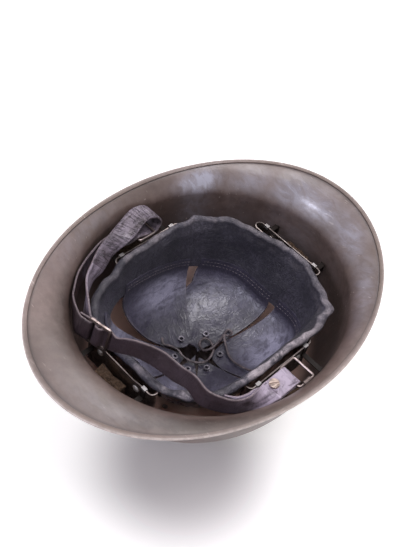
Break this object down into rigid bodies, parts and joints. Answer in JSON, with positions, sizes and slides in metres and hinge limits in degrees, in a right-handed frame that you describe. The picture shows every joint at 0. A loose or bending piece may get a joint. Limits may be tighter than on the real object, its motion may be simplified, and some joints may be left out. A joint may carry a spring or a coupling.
{
  "type": "steel crest helmet",
  "caption": "Brimmed steel helmet with a riveted crest, laced leather liner on sprung spacers and a buckled chinstrap, lying crown down with its opening up.",
  "frame": {"origin": "under the middle of the brim's outline, at the lowest point of the crest, with the helmet lying crown down", "axes": "+Z out of the opening, +Y to the rear brim, -Y to the front brim, +X to the wearer's right"},
  "size_m": [0.22, 0.296, 0.1578],
  "materials": {
    "shell_paint": "old olive-brown paint, worn smooth, satin",
    "band_leather": "soft near-black leather with a rubbed grey fold",
    "tongue_leather": "smooth dark leather with a bluish sheen",
    "strap_leather": "waxed dark brown leather, pale cut edges",
    "lace_leather": "thin rolled leather lace, dull",
    "eyelet_metal": "tarnished",
    "spring_steel": "dark spring strip with bright cut edges",
    "bright_metal": "dull bright",
    "ring_steel": "old wire, slightly tarnished",
    "felt": "matted brown felt",
    "screw_metal": "pale, tarnished"
  },
  "bodies": {
    "root": {"shell": "shell_paint", "crest": "shell_paint", "crest_rivets": "shell_paint", "headband": "band_leather", "tongue_rear_left": "tongue_leather", "tongue_rear": "tongue_leather", "tongue_right": "tongue_leather", "tongue_front_right": "tongue_leather", "tongue_front": "tongue_leather", "tongue_front_left": "tongue_leather", "eyelets": "eyelet_metal", "lace": "lace_leather", "spacer_rear": "spring_steel", "spacer_front": "spring_steel", "spacer_right": "spring_steel", "spacer_left": "spring_steel", "spacer_clips": "bright_metal", "spacer_rivets": "bright_metal", "pad_rear": "felt", "pad_front": "felt", "pad_right": "felt", "pad_left": "felt", "lug_right": "ring_steel", "lug_left": "ring_steel", "lug_rivets": "shell_paint", "chinstrap": "strap_leather"},
    "ring_right": {"ring_right": "ring_steel", "strap_screw": "screw_metal", "strap_nut": "screw_metal"},
    "ring_left": {"ring_left": "ring_steel"},
    "buckle": {"slide_buckle": "ring_steel"}
  },
  "joints": [
    {"name": "ring_right_hinge", "type": "hinge", "parent": "root", "child": "ring_right", "pos_m": [0.0944, 0.006, 0.12425], "axis": [0, 1, 0], "range_deg": [0, 50], "deforming": ["chinstrap"]},
    {"name": "ring_left_hinge", "type": "hinge", "parent": "root", "child": "ring_left", "pos_m": [-0.0944, 0.006, 0.12425], "axis": [0, -1, 0], "range_deg": [0, 90], "deforming": ["chinstrap"]},
    {"name": "buckle_slide", "type": "slide", "parent": "root", "child": "buckle", "axis": [0.9781, 0.2079, 0], "range_m": [-0.006, 0.006], "deforming": ["chinstrap"]}
  ]
}
